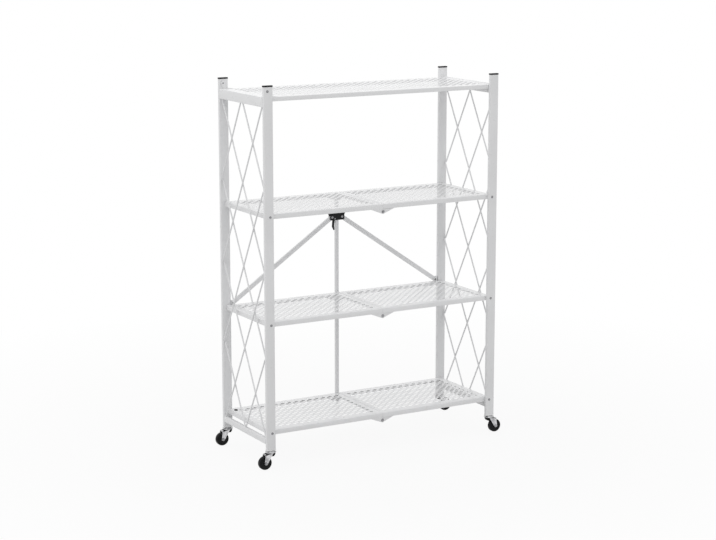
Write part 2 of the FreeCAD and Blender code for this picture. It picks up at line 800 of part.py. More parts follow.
def lock_rivets():
    """The braces' upper pivots, seated in the front plate."""
    rivets = []
    for side_name, side in SIDES.items():
        rivets.append(rivet(f"{side_name}_lock_rivet", f"{side} * lock_pivot_place", "lock_front",
                            "lock_pivot", "lock_wall", -1, "lock_head"))
    group("lock_rivets", rivets)


def lock_trigger():
    """The lever that frees the lock: an eye on its pin, a kinked arm and a
    tooth that points at the bar."""
    body = new_body("lock_trigger")
    tooth = "(pin_place - centre_bar_width / 2 - lock_slide_gap)"
    knee = ("-trigger_lean", "-trigger_knee")
    tip = ("-trigger_tip", "-trigger_drop")
    outline = new_sketch(body, "XZ_Plane")
    draw_tab(outline, [knee, tip, (tooth, "trigger_toe - trigger_drop"),
                       ("trigger_waist - trigger_lean", "1 - trigger_knee")], (0, 0), "trigger_eye")
    pad(body, outline, "trigger_depth", backwards=True)
    drilling = new_sketch(body, "XZ_Plane")
    draw_drilling(drilling, 0, 0, "(pin_radius + fit)")
    pocket(body, drilling, "4 * trigger_depth", both_ways=True)
    place(body, "-pin_place", "trigger_front", "pin_height")


def trigger_pin():
    head = rod_along_y("trigger_pin_head", "2 * pin_radius", "lock_head",
                       "-pin_place", "lock_front", "pin_height", -1)
    shank = rod_along_y("trigger_pin_shank", "pin_radius", "lock_back - lock_front",
                        "-pin_place", "lock_front", "pin_height", 1)
    finished(fuse("trigger_pin", [head, shank]), "trigger_pin")


def trigger_spring():
    """The torsion spring on the pin, as the sleeve that its coils fill."""
    coils = rod_along_y("spring_coils", "spring_radius", "spring_length",
                        "-pin_place", "brace_front", "pin_height", 1)
    bore = rod_along_y("spring_bore", "spring_radius - spring_wall", "spring_length",
                       "-pin_place", "brace_front", "pin_height", 1)
    spring = doc.addObject("Part::Cut", "trigger_spring")
    spring.Base = coils
    spring.Tool = bore
    finished(spring, "trigger_spring")


# ---------------------------------------------------------------- casters

def caster_fork(name, x, y, side):
    """A yoke with two tapered legs that trail away from the swivel axis, a
    cup and a wider ball race on top of it, and the stem that turns in the
    post's socket."""
    body = new_body(f"{name}_fork")
    outline = new_sketch(body, "XZ_Plane")
    draw_tab(outline, [("fork_front", "crown_foot"), ("-fork_back", "crown_foot")],
             ("-trail", "wheel_radius"), "fork_eye")
    pad(body, outline, "fork_inside + 2 * fork_wall", both_ways=True)
    for radius, foot, top, sides in (("cup_radius", "crown_foot", "race_foot", WHEEL_SIDES),
                                     ("race_radius", "race_foot", "crown_top", WHEEL_SIDES),
                                     ("stem_radius", "crown_top", "stem_top", ROUND_SIDES)):
        round_part = new_sketch(body, "XY_Plane", foot)
        draw_ring(round_part, 0, 0, radius, sides)
        pad(body, round_part, f"{top} - {foot}")
    mouth = new_sketch(body, "XZ_Plane")
    draw_box(mouth, "-2 * trail", "-wheel_radius", "2 * trail", "crown_foot")
    pocket(body, mouth, "fork_inside", both_ways=True)
    drilling = new_sketch(body, "XZ_Plane")
    draw_drilling(drilling, "-trail", "wheel_radius", "axle_radius")
    pocket(body, drilling, "4 * fork_inside", both_ways=True)
    place(body, x, y, 0, half_turn(side))


def caster_wheel(name, x, y):
    """A solid wheel with bevelled shoulders, bored for its bolt."""
    body = new_body(f"{name}_wheel")
    rim = new_sketch(body, "XZ_Plane")
    draw_ring(rim, 0, 0, "wheel_radius", WHEEL_SIDES)
    disc = pad(body, rim, "wheel_width", both_ways=True)
    doc.recompute()
    sides = [f"Face{number}" for number, face in enumerate(disc.Shape.Faces, start=1)
             if abs(face.normalAt(0, 0).y) > 0.5]
    shoulders = body.newObject("PartDesign::Chamfer", f"{name}_shoulders")
    shoulders.Base = (disc, sides)
    shoulders.setExpression("Size", bound("wheel_shoulder"))
    drilling = new_sketch(body, "XZ_Plane")
    draw_drilling(drilling, 0, 0, "(axle_radius + fit)")
    pocket(body, drilling, "2 * wheel_width", both_ways=True)
    place(body, x, y, "wheel_radius")


def caster_axle(name, x, y):
    """The bolt through the fork, with its hexagonal head and nut."""
    width = "(fork_inside + 2 * fork_wall)"
    ends = [rod_along_y(f"{name}_bolt", "axle_radius", width, x, f"{y} - {width} / 2", "wheel_radius", 1)]
    for end in ENDS.values():
        ends.append(rod_along_y(f"{name}_nut", "nut_radius", "nut_height", x, f"{y} + {end} * {width} / 2",
                                "wheel_radius", end, 6))
    finished(fuse(f"{name}_axle", ends), f"{name}_axle")


def caster(side_name, end_name):
    side = SIDES[side_name]
    name = f"{side_name}_{end_name}_caster"
    stem_x = f"{side} * {POST_X}"
    axle_x = f"{side} * ({POST_X} + trail)"
    y = f"{ENDS[end_name]} * {POST_Y}"
    caster_fork(name, stem_x, y, side)
    caster_wheel(name, axle_x, y)
    caster_axle(name, axle_x, y)


# --------------------------------------------------------------- assembly

for side_label in SIDES:
    end_frame(side_label)
    brace(side_label)
    for end_label in ENDS:
        caster(side_label, end_label)
for level_label in SHELF_LEVELS:
    for side_label in SIDES:
        folding_shelf_half(level_label, side_label)
    hinge_rivet(level_label)
top_shelf()
top_shelf_rivets()
top_shelf_rests()
deck_bumper()
centre_bar()
bar_rivets()
lock_housing()
lock_rivets()
lock_trigger()
trigger_pin()
trigger_spring()

doc.recompute()
for thing in doc.Objects:
    if "Invalid" in thing.State or "Error" in thing.State:
        raise ValueError(f"{thing.Name} failed: {thing.State}")
for part in parts:
    if part.Shape.isNull() or not part.Shape.isValid() or part.Shape.Volume <= 0:
        raise ValueError(f"{part.Label} has no valid shape")

os.makedirs("parts", exist_ok=True)
for part in parts:
    part.Shape.exportStep(f"parts/{part.Label}.step")
print(f"{len(parts)} parts")
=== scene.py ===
import json
import math

import bpy
import bmesh
from mathutils import Matrix, Vector
from mathutils.geometry import tessellate_polygon


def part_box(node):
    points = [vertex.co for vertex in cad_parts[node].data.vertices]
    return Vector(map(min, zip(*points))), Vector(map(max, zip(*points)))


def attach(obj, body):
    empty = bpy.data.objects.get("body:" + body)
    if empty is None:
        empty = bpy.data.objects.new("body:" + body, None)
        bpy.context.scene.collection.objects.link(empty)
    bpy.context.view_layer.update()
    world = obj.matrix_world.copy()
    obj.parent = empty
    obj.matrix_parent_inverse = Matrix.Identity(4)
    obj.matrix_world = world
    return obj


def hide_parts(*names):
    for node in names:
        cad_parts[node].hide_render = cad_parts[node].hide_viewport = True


# A white folding bookcase on casters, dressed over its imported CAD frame.
# Metres, in the frame's own axes: X across the width, Y to the back, Z up.

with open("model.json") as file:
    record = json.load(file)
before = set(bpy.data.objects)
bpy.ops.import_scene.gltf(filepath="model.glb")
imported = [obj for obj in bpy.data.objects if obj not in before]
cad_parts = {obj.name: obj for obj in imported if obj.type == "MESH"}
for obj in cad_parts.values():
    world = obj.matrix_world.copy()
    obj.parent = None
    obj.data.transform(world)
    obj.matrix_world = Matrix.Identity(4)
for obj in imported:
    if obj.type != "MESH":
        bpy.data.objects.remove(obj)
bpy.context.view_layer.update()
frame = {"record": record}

MM = 0.001
SIDES = {"left": -1, "right": 1}
ENDS = {"front": -1, "rear": 1}
LEVELS = ("lower", "middle", "upper")
BODY_OF = {node: body for body, nodes in frame["record"]["behaviour"]["bodies"].items()
           for node in nodes}

# Sheet steel of the shelves, their punched diamonds, ears, lugs and rests.
SHEET = 1.2 * MM
DECK_SHEET = 0.6 * MM
BEND = 2.2 * MM
RAIL = 16 * MM
TOP_RAIL = 14.5 * MM
HALF_DEPTH = 153.5 * MM
SEAM = 0.2 * MM
PITCH = 26.5 * MM
HOLE_WIDTH = 15 * MM
HOLE_DEPTH = 17 * MM
ROWS = 10
SEAM_COLUMN = 24.5 * MM
HALF_COLUMNS = 15
TOP_COLUMNS = 31
EAR_LENGTH = 45 * MM
EAR_RADIUS = 8.2 * MM
HINGE_DROP = 17 * MM
LUG_ROOT = 40 * MM
LUG_RADIUS = 8 * MM
LUG_HOLLOW = (1.4 * LUG_RADIUS, -1.9 * LUG_RADIUS)
REST_WIDTH = 20 * MM
DECK_EDGE = 0.2 * MM
EAR_EDGE = 0.25 * MM

# Tubes, rods and rivets.  The lattice has evenly spaced heights, and a whole
# rod rises over ROD_STEPS of them.
TUBE_WALL = 1.2 * MM
POST_CORNER = 2.4 * MM
BAR_CORNER = 1.6 * MM
ROD = 2.5 * MM
LATTICE_TOP = 1187 * MM
LATTICE_STEP = 137.2 * MM
LATTICE_STEPS = 8
ROD_STEPS = 4
OUTER_LAYER = 440.5 * MM
INNER_LAYER = 435.5 * MM
RIVET_HEAD = 5.5 * MM
RIVET_SHANK = 3 * MM
RIVET_TAIL = 0.8 * MM
POST_HEAD = 4.4 * MM
LOCK_HEAD = 4.4 * MM
RIVET_CROWN = 1.6 * MM
LOCK_CROWN = 1.2 * MM
COLLAR_GAP = 0.1 * MM
CAP_LIP = 4.2 * MM
SOCKET_LIP = 2.9 * MM
PLUG_EDGE = 0.7 * MM

# Braces and the lock.
BRACE_WIDTH = 15 * MM
BRACE_EDGE = 2.4 * MM
BRACKET_REACH = 9.5 * MM
BRACKET_RADIUS = 7 * MM
BRACKET_WALL = 1.5 * MM
BRACKET_EDGE = 0.3 * MM
LOCK_WALL = 1.2 * MM
LOCK_PIVOT = Vector((19.3 * MM, 0, 750.5 * MM))
LOCK_CORNER = 3 * MM
LOCK_SKIRT = 28 * MM
LOCK_WEB = 760 * MM
LOCK_SLOT = 6.55 * MM
LOCK_EDGE = 0.35 * MM
TRIGGER_NECK = (-9.6 * MM, -6 * MM)
TRIGGER_KNEE = (-11.4 * MM, -27 * MM)
TRIGGER_TIP = (-4.7 * MM, -40 * MM)
TRIGGER_TOE = (-1.2 * MM, -37.5 * MM)
TRIGGER_WAIST = (-2.8 * MM, -25 * MM)
TRIGGER_THROAT = (-1 * MM, -8 * MM)
TRIGGER_EDGE = 0.4 * MM
SPRING_WIRE = 0.4 * MM
SPRING_TURNS = 5
SPRING_STEPS = 24

# Casters.  In a side outline the first number is the place along the trail,
# negative towards the wheel, and the second the height.  In a turned profile
# the first is the radius.
TRAIL = 22 * MM
WHEEL_RADIUS = 22.5 * MM
FORK_INSIDE = 18.4 * MM
FORK_WALL = 1.6 * MM
FORK_HALF = FORK_INSIDE / 2 + FORK_WALL
FORK_EYE = 5.5 * MM
FORK_EDGE = 0.6 * MM
FORK_FRONT = (6 * MM, 57 * MM)
FORK_BACK = (-24 * MM, 50.5 * MM)
HOOD_DROP = 2.2 * MM
HOOD_FRONT_INSET = 0.8 * MM
HOOD_BACK_INSET = 0.6 * MM
# The black block in the fork is painted shade, not a moulded part: it stands for the shade under
# the hood and inside the far leg.
SHADE_BLOCK_HALF = FORK_INSIDE / 2 - 0.2 * MM
SHADE_BLOCK_EDGE = 0.8 * MM
SHADE_BLOCK_OUTLINE = [(12.6 * MM, 56.6 * MM), (3 * MM - TRAIL, 52 * MM), (3 * MM - TRAIL, 47.4 * MM),
                   (-8 * MM, 47.4 * MM), (-1 * MM, 43.5 * MM), (8 * MM, 43.5 * MM),
                   (12.6 * MM, 50 * MM)]
CROWN_TOP = 61.3 * MM
STEM_TOP = 86 * MM
CROWN_PROFILE = [(0, 56.2 * MM), (17.4 * MM, 56.2 * MM), (18 * MM, 56.8 * MM), (18 * MM, 57.6 * MM),
                 (17.2 * MM, 58.4 * MM), (12.6 * MM, 58.8 * MM), (11 * MM, 60 * MM),
                 (8.6 * MM, CROWN_TOP), (4 * MM, CROWN_TOP), (4 * MM, STEM_TOP - 1 * MM),
                 (3.2 * MM, STEM_TOP), (0, STEM_TOP)]
TYRE_HALF = [(3.1 * MM, 8.8 * MM), (6.6 * MM, 8.8 * MM), (7.4 * MM, 8.4 * MM), (8.0 * MM, 6.4 * MM),
             (16.0 * MM, 6.0 * MM), (17.2 * MM, 7.0 * MM), (19.0 * MM, 7.9 * MM),
             (20.6 * MM, 7.7 * MM), (21.8 * MM, 6.7 * MM), (22.4 * MM, 5.0 * MM),
             (22.5 * MM, 2.4 * MM)]
NUT_HEIGHT = 2.5 * MM
NUT_GAP = 0.15 * MM
NUT_SHARE = 0.97
BOLT_RADIUS = 2.9 * MM
BOLT_CHAMFER = 0.7 * MM
BOLT_EDGE = 0.4 * MM

# Light: the floor's share of plain white near the object, the distances over
# which that share becomes whole, the even light of the room, the floor's reach
# and tone, and the point that the lamps face.
FLOOR_GLOW = 0.92
NEAR_FLOOR = 0.7
FAR_FLOOR = 2.2
SKY_LIGHT = 0.84
FLOOR_REACH = 12.0
FLOOR_TONE = 0.56
LAMP_TARGET = Vector((0, 0, 0.7))

# Surfaces: the scales of their noise, in cells to the metre, the depth of what
# it raises, and the angles from which an edge is sharp and is softened.
DRIFT_SCALE = 7.0
PATCH_SCALE = 60.0
TONE_SCALE = 90.0
LINE_SCALE = 700.0
PEEL_DEPTH = 0.2 * MM
LINE_DEPTH = 0.05 * MM
SHARP_ANGLE = math.radians(38)
BEVEL_ANGLE = math.radians(40)

# The camera, as solved from the straight edges of the object.
LENS = 92.9
AZIMUTH = math.radians(-29.902)
ELEVATION = math.radians(11.226)
CAMERA_PLACE = Vector((-3.0677, -5.3221, 1.8103))


# -------------------------------------------------------------- materials

def new_material(name):
    """A node material with its Principled shader, ready for settings."""
    material = bpy.data.materials.new(name)
    material.use_nodes = True
    return material, material.node_tree.nodes["Principled BSDF"]


def grain(material, scale, detail=4.0, stretch=(1, 1, 1)):
    """A noise texture that sits still on the object, in metres."""
    nodes, links = material.node_tree.nodes, material.node_tree.links
    where = nodes.new("ShaderNodeTexCoord")
    mapping = nodes.new("ShaderNodeMapping")
    mapping.inputs["Scale"].default_value = stretch
    noise = nodes.new("ShaderNodeTexNoise")
    noise.inputs["Scale"].default_value = scale
    noise.inputs["Detail"].default_value = detail
    links.new(where.outputs["Object"], mapping.inputs["Vector"])
    links.new(mapping.outputs["Vector"], noise.inputs["Vector"])
    return noise.outputs["Fac"]


def between(material, source, low, high):
    """The texture's value, spread from low to high."""
    spread = material.node_tree.nodes.new("ShaderNodeMapRange")
    spread.inputs["From Min"].default_value = 0.3
    spread.inputs["From Max"].default_value = 0.7
    spread.inputs["To Min"].default_value = low
    spread.inputs["To Max"].default_value = high
    material.node_tree.links.new(source, spread.inputs["Value"])
    return spread.outputs["Result"]


def tint(material, source, dark, light):
    """A colour that wanders between two close tones."""
    ramp = material.node_tree.nodes.new("ShaderNodeValToRGB")
    ramp.color_ramp.elements[0].position = 0.35
    ramp.color_ramp.elements[0].color = (*dark, 1)
    ramp.color_ramp.elements[1].position = 0.65
    ramp.color_ramp.elements[1].color = (*light, 1)
    material.node_tree.links.new(source, ramp.inputs["Fac"])
    return ramp.outputs["Color"]


def relief(material, shader, source, distance, strength):
    """Let the texture's value raise the surface a little."""
    bump = material.node_tree.nodes.new("ShaderNodeBump")
    bump.inputs["Distance"].default_value = distance
    bump.inputs["Strength"].default_value = strength
    material.node_tree.links.new(source, bump.inputs["Height"])
    material.node_tree.links.new(bump.outputs["Normal"], shader.inputs["Normal"])


def coated(name, dark, light, gloss, peel, coat=0.0, peel_scale=900.0, shine=0.5):
    """A finish with a slow drift of tone, uneven gloss and fine surface peel."""
    material, shader = new_material(name)
    links = material.node_tree.links
    drift = grain(material, DRIFT_SCALE)
    links.new(tint(material, drift, dark, light), shader.inputs["Base Color"])
    patches = grain(material, PATCH_SCALE)
    links.new(between(material, patches, *gloss), shader.inputs["Roughness"])
    shader.inputs["Specular IOR Level"].default_value = shine
    shader.inputs["Coat Weight"].default_value = coat
    shader.inputs["Coat Roughness"].default_value = 0.12
    relief(material, shader, grain(material, peel_scale, detail=2.0), PEEL_DEPTH, peel)
    return material


def turned_metal(name, dark, light, gloss, stretch):
    """Plated metal with fine lines left by turning or drawing."""
    material, shader = new_material(name)
    links = material.node_tree.links
    lines = grain(material, LINE_SCALE, 3.0, stretch)
    tone = grain(material, TONE_SCALE)
    links.new(tint(material, tone, dark, light), shader.inputs["Base Color"])
    links.new(between(material, lines, *gloss), shader.inputs["Roughness"])
    shader.inputs["Metallic"].default_value = 1.0
    relief(material, shader, lines, LINE_DEPTH, 0.25)
    return material


FINISHES = {
    "white_paint": coated("white_paint", (0.785, 0.787, 0.795), (0.825, 0.827, 0.835),
                          gloss=(0.26, 0.36), peel=0.10, coat=0.35),
    "black_plastic": coated("black_plastic", (0.003, 0.003, 0.003), (0.007, 0.007, 0.008),
                            gloss=(0.50, 0.64), peel=0.30, peel_scale=2500.0, shine=0.12),
    "white_plastic": coated("white_plastic", (0.84, 0.84, 0.84), (0.88, 0.88, 0.88),
                            gloss=(0.40, 0.52), peel=0.20, peel_scale=2500.0),
    "black_paint": coated("black_paint", (0.003, 0.003, 0.003), (0.008, 0.008, 0.009),
                          gloss=(0.30, 0.44), peel=0.15, shine=0.2),
    "wheel_black": coated("wheel_black", (0.003, 0.003, 0.003), (0.008, 0.008, 0.009),
                          gloss=(0.36, 0.50), peel=0.20, peel_scale=1800.0, shine=0.16),
    "bumper_rubber": coated("bumper_rubber", (0.014, 0.014, 0.014), (0.028, 0.027, 0.027),
                            gloss=(0.62, 0.80), peel=0.45, peel_scale=3000.0),
    "bright_zinc": turned_metal("bright_zinc", (0.20, 0.20, 0.21), (0.38, 0.38, 0.39),
                                gloss=(0.30, 0.46), stretch=(1, 1, 1)),
    "bright_chrome": turned_metal("bright_chrome", (0.36, 0.36, 0.37), (0.74, 0.74, 0.75),
                                  gloss=(0.12, 0.24), stretch=(1, 1, 0.15)),
}


# --------------------------------------------------------------- outlines

def arc(centre, radius, start, end, steps):
    """Points on an arc from one angle to the other, both ends included."""
    return [(centre[0] + radius * math.cos(start + (end - start) * step / steps),
             centre[1] + radius * math.sin(start + (end - start) * step / steps))
            for step in range(steps + 1)]


def circle(centre, radius, steps=24):
    """The points of a whole circle, each once."""
    return arc(centre, radius, 0, 2 * math.pi, steps)[:-1]


def rounded_box(width, height, radius, steps=4):
    """A rectangle about the origin with round corners, anticlockwise."""
    points = []
    for corner, (across, up) in enumerate(((1, 1), (-1, 1), (-1, -1), (1, -1))):
        centre = (across * (width / 2 - radius), up * (height / 2 - radius))
        start = corner * math.pi / 2
        points += arc(centre, radius, start, start + math.pi / 2, steps)
    return points


def tab(corners, centre, radius, steps=16):
    """Straight edges through the corners, closed by a tangent round end."""
    def tangent(corner, side):
        across, up = corner[0] - centre[0], corner[1] - centre[1]
        return math.atan2(up, across) + side * math.acos(radius / math.hypot(across, up))

    start, end = tangent(corners[-1], 1), tangent(corners[0], -1)
    while end <= start:
        end += 2 * math.pi
    return arc(centre, radius, start, end, steps) + list(corners)


def stadium(length, radius, steps=12):
    """A strip with half-round ends, from the origin along the first axis."""
    return (arc((0, 0), radius, math.pi / 2, 3 * math.pi / 2, steps)
            + arc((length, 0), radius, -math.pi / 2, math.pi / 2, steps))


def tube_section(width, height, corner):
    """The outer and the inner outline of a rectangular tube."""
    return [rounded_box(width, height, corner),
            rounded_box(width - 2 * TUBE_WALL, height - 2 * TUBE_WALL, corner - TUBE_WALL)]


# ----------------------------------------------------------- mesh builders

def centre_of(node):
    """The middle of a node's box."""
    low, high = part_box(node)
    return (low + high) / 2


def standing(place, side=1):
    """Local first and second axes become X (times side) and Z; depth runs to +Y."""
    turn = Matrix(((side, 0, 0), (0, 0, 1), (0, 1, 0))).to_4x4()
    return Matrix.Translation(place) @ turn


def slab(bm, loops, depth, place):
    """A plate of the first outline, pierced by the others, at a place."""
    flat = [Vector((*point, 0)) for loop in loops for point in loop]
    floor = [bm.verts.new(place @ point) for point in flat]
    roof = [bm.verts.new(place @ (point + Vector((0, 0, depth)))) for point in flat]
    for corners in tessellate_polygon([[Vector((*p, 0)) for p in loop] for loop in loops]):
        bm.faces.new([floor[index] for index in corners])
        bm.faces.new([roof[index] for index in corners])
    first = 0
    for loop in loops:
        for step in range(len(loop)):
            a, b = first + step, first + (step + 1) % len(loop)
            bm.faces.new([floor[a], floor[b], roof[b], roof[a]])
        first += len(loop)


def lathe(bm, profile, place, steps=36):
    """A closed turned piece: each profile point is a radius and a height."""
    rings = []
    for radius, height in profile:
        if radius == 0:
            rings.append([bm.verts.new(place @ Vector((0, 0, height)))])
            continue
        rings.append([bm.verts.new(place @ Vector((x, y, height)))
                      for x, y in circle((0, 0), radius, steps)])
    for low, high in zip(rings, rings[1:]):
        for step in range(steps):
            after = (step + 1) % steps
            ring = [low[step % len(low)], low[after % len(low)],
                    high[after % len(high)], high[step % len(high)]]
            bm.faces.new(list(dict.fromkeys(ring)))


def ring_lathe(bm, profile, place, steps=36):
    """A turned ring: its profile closes on itself away from the axis."""
    rings = [[bm.verts.new(place @ Vector((x, y, height)))
              for x, y in circle((0, 0), radius, steps)] for radius, height in profile]
    for low, high in zip(rings, rings[1:] + rings[:1]):
        for step in range(steps):
            after = (step + 1) % steps
            bm.faces.new([low[step], low[after], high[after], high[step]])


def sweep(bm, path, radius, sides):
    """A round wire along a smooth path."""
    rings = []
    for index, point in enumerate(path):
        ahead = path[min(index + 1, len(path) - 1)] - path[max(index - 1, 0)]
        turn = ahead.to_track_quat("Z", "Y")
        rings.append([bm.verts.new(point + turn @ Vector((x, y, 0)))
                      for x, y in circle((0, 0), radius, sides)])
    for low, high in zip(rings, rings[1:]):
        for step in range(sides):
            after = (step + 1) % sides
            bm.faces.new([low[step], low[after], high[after], high[step]])
    bm.faces.new(rings[0])
    bm.faces.new(rings[-1])


def rod(bm, tail, head, radius, sides=14):
    """A straight round rod between two places."""
    axis = head - tail
    place = Matrix.Translation(tail) @ axis.to_track_quat("Z", "Y").to_matrix().to_4x4()
    lathe(bm, [(0, 0), (radius, 0), (radius, axis.length), (0, axis.length)], place, sides)


def turn_outwards(bm, core):
    """Flip the faces of an open skin that look towards its core."""
    inward = [face for face in bm.faces if face.normal.dot(face.calc_center_median() - core) < 0]
    bmesh.ops.reverse_faces(bm, faces=inward)


def piece(name, bm, finish, nodes, edge=0.0, segments=2, thickness=0.0):
    """Make the mesh a piece that stands for the named nodes and moves with
    the first one's body.  An open skin gets its sheet thickness here."""
    if not thickness:
        bmesh.ops.recalc_face_normals(bm, faces=bm.faces)
    mesh = bpy.data.meshes.new(name)
    bm.to_mesh(mesh)
    bm.free()
    mesh.shade_smooth()
    mesh.set_sharp_from_angle(angle=SHARP_ANGLE)
    mesh.materials.append(FINISHES[finish])
    obj = bpy.data.objects.new(name, mesh)
    bpy.context.collection.objects.link(obj)
    if thickness:
        solid = obj.modifiers.new("sheet", "SOLIDIFY")
        solid.thickness = thickness
        solid.offset = -1
        solid.use_even_offset = True
    if edge:
        soften(obj, edge, segments)
    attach(obj, BODY_OF[nodes[0]])
    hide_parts(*nodes)


def soften(obj, edge, segments):
    """Round off the sharp edges."""
    bevel = obj.modifiers.new("softened_edges", "BEVEL")
    bevel.width = edge
    bevel.segments = segments
    bevel.limit_method = "ANGLE"
    bevel.angle_limit = BEVEL_ANGLE
    bevel.harden_normals = True


# ----------------------------------------------------------------- rivets

def add_rivet(bm, place, way, reach, crown=RIVET_CROWN, head=RIVET_HEAD, tail=0):
    """A domed head whose foot is at the place, and a shank behind it, which
    may end in a tail spread over the last sheet."""
    end = [(0, -reach)]
    if tail:
        end = [(0, -reach - tail), (0.9 * RIVET_SHANK, -reach - tail),
               (1.3 * RIVET_SHANK, -reach - 0.4 * tail), (1.3 * RIVET_SHANK, -reach)]
    dome = [(head, 0.2 * crown), (0.93 * head, 0.5 * crown), (0.75 * head, 0.8 * crown),
            (0.45 * head, crown), (0.2 * head, 0.93 * crown), (0, 0.9 * crown)]
    profile = end + [(RIVET_SHANK, -reach), (RIVET_SHANK, 0), (head, 0)] + dome
    turn = Vector((0, way, 0)).to_track_quat("Z", "X").to_matrix().to_4x4()
    lathe(bm, profile, Matrix.Translation(place) @ turn)


# ------------------------------------------------------------- end frames

def build_post(side_name, end_name):
    node = f"{side_name}_{end_name}_post"
    low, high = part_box(node)
    middle = centre_of(node)
    bm = bmesh.new()
    slab(bm, tube_section(high.x - low.x, high.y - low.y, POST_CORNER), high.z - low.z,
         Matrix.Translation(Vector((middle.x, middle.y, low.z))))
    piece(f"{node}_tube", bm, "white_paint", [node])


def build_cross_bar(node):
    low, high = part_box(node)
    middle = centre_of(node)
    bm = bmesh.new()
    slab(bm, tube_section(high.x - low.x, high.z - low.z, BAR_CORNER), high.y - low.y,
         standing(Vector((middle.x, low.y, middle.z))))
    piece(f"{node}_tube", bm, "white_paint", [node])


def build_lattice(side_name):
    """Straight rods in two layers, each set leaning its own way, welded
    where they cross and where they meet the posts and the bars."""
    node = f"{side_name}_lattice"
    side = SIDES[side_name]
    low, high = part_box(node)
    reach = high.y - ROD
    bm = bmesh.new()
    for lean, layer in ((1, OUTER_LAYER), (-1, INNER_LAYER)):
        for start in range(-ROD_STEPS // 2, LATTICE_STEPS, ROD_STEPS // 2):
            ends = []
            for step in (max(start, 0), min(start + ROD_STEPS, LATTICE_STEPS)):
                share = 2 * (step - start) / ROD_STEPS - 1
                ends.append(Vector((side * layer, lean * reach * share,
                                    LATTICE_TOP - step * LATTICE_STEP)))
            tail, head = (clip_height(ends, end, low.z, high.z) for end in ends)
            rod(bm, tail, head, ROD)
    piece(f"{node}_rods", bm, "white_paint", [node])


def clip_height(ends, end, floor, roof):
    """One end of a rod, cut back along the rod to the given heights."""
    height = min(max(end.z, floor), roof)
    share = (height - ends[0].z) / (ends[1].z - ends[0].z)
    return ends[0].lerp(ends[1], share)


def build_plugs(node, finish, flange, top):
    """Moulded plugs in the post ends, each with a lip over the tube's end."""
    low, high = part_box(node)
    bm = bmesh.new()
    post_low, post_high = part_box(node.split("_")[0] + "_front_post")
    width = high.x - low.x
    lip = (width - (post_high.x - post_low.x)) / 2
    depth = post_high.y - post_low.y + 2 * lip
    for end in ENDS.values():
        where = Vector((centre_of(node).x, end * (high.y - depth / 2),
                        high.z - flange if top else low.z))
        slab(bm, [rounded_box(width, depth, POST_CORNER + lip, 6)], flange,
             Matrix.Translation(where))
    piece(f"{node}_lips", bm, finish, [node], edge=PLUG_EDGE, segments=3)


def add_pivot_rivets(bm, across, height, face):
    """A front and a rear rivet through the posts and a shelf's rails."""
    for end in ENDS.values():
        add_rivet(bm, Vector((across, end * face, height)), end, face - HALF_DEPTH + SHEET,
                  head=POST_HEAD, tail=RIVET_TAIL)


def build_shelf_rivets(side_name):
    node = f"{side_name}_shelf_rivets"
    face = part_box(node)[1].y - RIVET_CROWN
    bm = bmesh.new()
    for level in LEVELS:
        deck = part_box(f"{level}_shelf_right")[1].z
        add_pivot_rivets(bm, centre_of(node).x, deck - RAIL / 2, face)
    piece(f"{node}_heads", bm, "bright_zinc", [node])


def build_top_rivets():
    node = "top_shelf_rivets"
    middle = centre_of(node)
    bm = bmesh.new()
    add_pivot_rivets(bm, middle.x, middle.z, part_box(node)[1].y - RIVET_CROWN)
    piece(f"{node}_heads", bm, "bright_zinc", [node])


def build_bracket(side_name):
    """A folded clevis: a web on the post and an ear each side of the brace."""
    node = f"{side_name}_brace_bracket"
    side = SIDES[side_name]
    low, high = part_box(node)
    post_face = high.x if side > 0 else low.x
    middle = centre_of(node).z
    half = (high.z - low.z) / 2
    ear = tab([(0, half), (0, -half)], (BRACKET_REACH, 0), BRACKET_RADIUS)
    web = [(0, -half), (BRACKET_WALL, -half), (BRACKET_WALL, half), (0, half)]
    bm = bmesh.new()
    for start in (low.y, high.y - BRACKET_WALL):
        slab(bm, [ear], BRACKET_WALL, standing(Vector((post_face, start, middle)), -side))
    slab(bm, [web], high.y - low.y, standing(Vector((post_face, low.y, middle)), -side))
    piece(f"{node}_clevis", bm, "white_paint", [node], edge=BRACKET_EDGE)


def build_brace_rivet(side_name):
    """The rivet through the bracket and the foot of the brace."""
    node = f"{side_name}_brace_rivet"
    low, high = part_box(node)
    middle = centre_of(node)
    face = high.y - RIVET_CROWN
    bm = bmesh.new()
    add_rivet(bm, Vector((middle.x, face, middle.z)), 1, face - low.y)
    piece(f"{node}_head", bm, "bright_zinc", [node])


def build_rests():
    """Two angles on the right frame, under the free end of the top shelf."""
    node = "top_shelf_rests"
    low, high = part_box(node)
    reach, height = high.x - low.x, high.z - low.z
    outline = [(0, 0), (0, -height), (-BRACKET_WALL, -height), (-BRACKET_WALL, -BRACKET_WALL),
               (-reach, -BRACKET_WALL), (-reach, 0)]
    bm = bmesh.new()
    for start in (low.y, high.y - REST_WIDTH):
        slab(bm, [outline], REST_WIDTH, standing(Vector((high.x, start, high.z))))
    piece(f"{node}_angles", bm, "white_paint", [node], edge=BRACKET_EDGE)


# ---------------------------------------------------------------- shelves

def half_pitches(first, count):
    """Lines half a pitch apart, from just before the first hole to just past
    the last."""
    return [first + (step - 1) * PITCH / 2 for step in range(2 * count + 1)]


